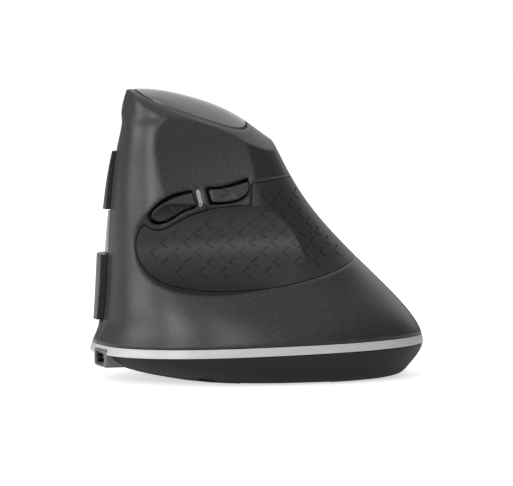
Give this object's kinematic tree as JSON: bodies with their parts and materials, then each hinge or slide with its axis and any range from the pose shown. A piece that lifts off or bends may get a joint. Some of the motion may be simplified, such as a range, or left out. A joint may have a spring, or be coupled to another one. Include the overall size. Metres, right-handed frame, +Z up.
{
  "type": "vertical computer mouse",
  "caption": "Right-hand vertical computer mouse with a thumb hollow, side buttons, finger-side main buttons and wheel, a light strip round the base and a charging port.",
  "frame": {"origin": "on the desk, under the centre of the base", "axes": "+Z up, +Y to the front where the fingers point, -X the thumb side, +X the finger side"},
  "size_m": [0.0729, 0.0968, 0.0835],
  "materials": {
    "tray_plastic": "matte",
    "strip_plastic": "satin translucent",
    "port_plastic": "satin",
    "steel": "brushed",
    "foot_plastic": "smooth",
    "shell_paint": "satin metallic paint",
    "lens_paint": "gloss",
    "grip_rubber": "matte, engraved chevrons",
    "side_button_plastic": "satin",
    "indicator_plastic": "translucent",
    "button_paint": "satin metallic paint",
    "bezel_plastic": "gloss",
    "wheel_plastic": "satin",
    "tyre_rubber": "ribbed",
    "frame_plastic": "matte",
    "board_laminate": "solder mask",
    "switch_plastic": "matte",
    "chip_plastic": "matte",
    "clear_plastic": "clear",
    "knob_plastic": "satin",
    "receiver_plastic": "matte",
    "battery_foil": "foil"
  },
  "bodies": {
    "case": {"bottom_tray": "tray_plastic", "light_strip": "strip_plastic", "port_housing": "port_plastic", "usb_socket": "steel", "front_foot": "foot_plastic", "rear_feet": "foot_plastic", "thumb_shell": "shell_paint", "palm_shell": "shell_paint", "top_cap": "lens_paint", "thumb_grip": "grip_rubber", "indicator_window": "indicator_plastic", "wheel_bezel": "bezel_plastic", "finger_board": "board_laminate", "left_switch": "switch_plastic", "right_switch": "switch_plastic", "dpi_switch": "switch_plastic", "wheel_encoder": "switch_plastic", "wheel_switch": "switch_plastic", "side_board": "board_laminate", "forward_switch": "switch_plastic", "back_switch": "switch_plastic", "indicator_led": "indicator_plastic", "main_board": "board_laminate", "optical_sensor": "chip_plastic", "sensor_lens": "clear_plastic", "board_chips": "chip_plastic", "power_switch": "switch_plastic", "battery": "battery_foil", "inner_frame": "frame_plastic", "case_screws": "steel", "board_screws": "steel"},
    "left_button": {"left_button": "button_paint"},
    "right_button": {"right_button": "button_paint"},
    "wheel_carrier": {"wheel_carrier": "frame_plastic"},
    "scroll_wheel": {"wheel_core": "wheel_plastic", "wheel_tyre": "tyre_rubber"},
    "forward_button": {"forward_button": "side_button_plastic"},
    "back_button": {"back_button": "side_button_plastic"},
    "dpi_button": {"dpi_button": "side_button_plastic"},
    "power_knob": {"power_knob": "knob_plastic"},
    "nano_receiver": {"nano_receiver": "receiver_plastic"}
  },
  "joints": [
    {"name": "left_click", "type": "hinge", "parent": "case", "child": "left_button", "pos_m": [0.024, -0.004, 0.0426], "axis": [-0.3485, 0.4766, 0.8071], "range_deg": [0, 0.8], "stiffness_Nm_per_rad": 2.2},
    {"name": "right_click", "type": "hinge", "parent": "case", "child": "right_button", "pos_m": [0.0295, -0.0055, 0.0293], "axis": [-0.3951, 0.108, 0.9123], "range_deg": [0, 0.55], "stiffness_Nm_per_rad": 2.6},
    {"name": "wheel_click", "type": "slide", "parent": "case", "child": "wheel_carrier", "axis": [-0.9178, 0, -0.3969], "range_m": [0, 0.00045], "stiffness_N_per_m": 1500},
    {"name": "wheel_spin", "type": "hinge", "parent": "wheel_carrier", "child": "scroll_wheel", "pos_m": [0.01896, 0.022, 0.03892], "axis": [-0.3969, 0, 0.9178], "continuous": true},
    {"name": "forward_press", "type": "slide", "parent": "case", "child": "forward_button", "axis": [1, 0, 0], "range_m": [0, 0.0005], "stiffness_N_per_m": 1200},
    {"name": "back_press", "type": "slide", "parent": "case", "child": "back_button", "axis": [1, 0, 0], "range_m": [0, 0.0005], "stiffness_N_per_m": 1200},
    {"name": "dpi_press", "type": "slide", "parent": "case", "child": "dpi_button", "axis": [-0.9178, 0, -0.3969], "range_m": [0, 0.0004], "stiffness_N_per_m": 1000},
    {"name": "power_slide", "type": "slide", "parent": "case", "child": "power_knob", "axis": [0, 1, 0], "range_m": [0, 0.0028]},
    {"name": "receiver_pull", "type": "slide", "parent": "case", "child": "nano_receiver", "axis": [0, 0, -1], "range_m": [0, 0.0065]}
  ]
}
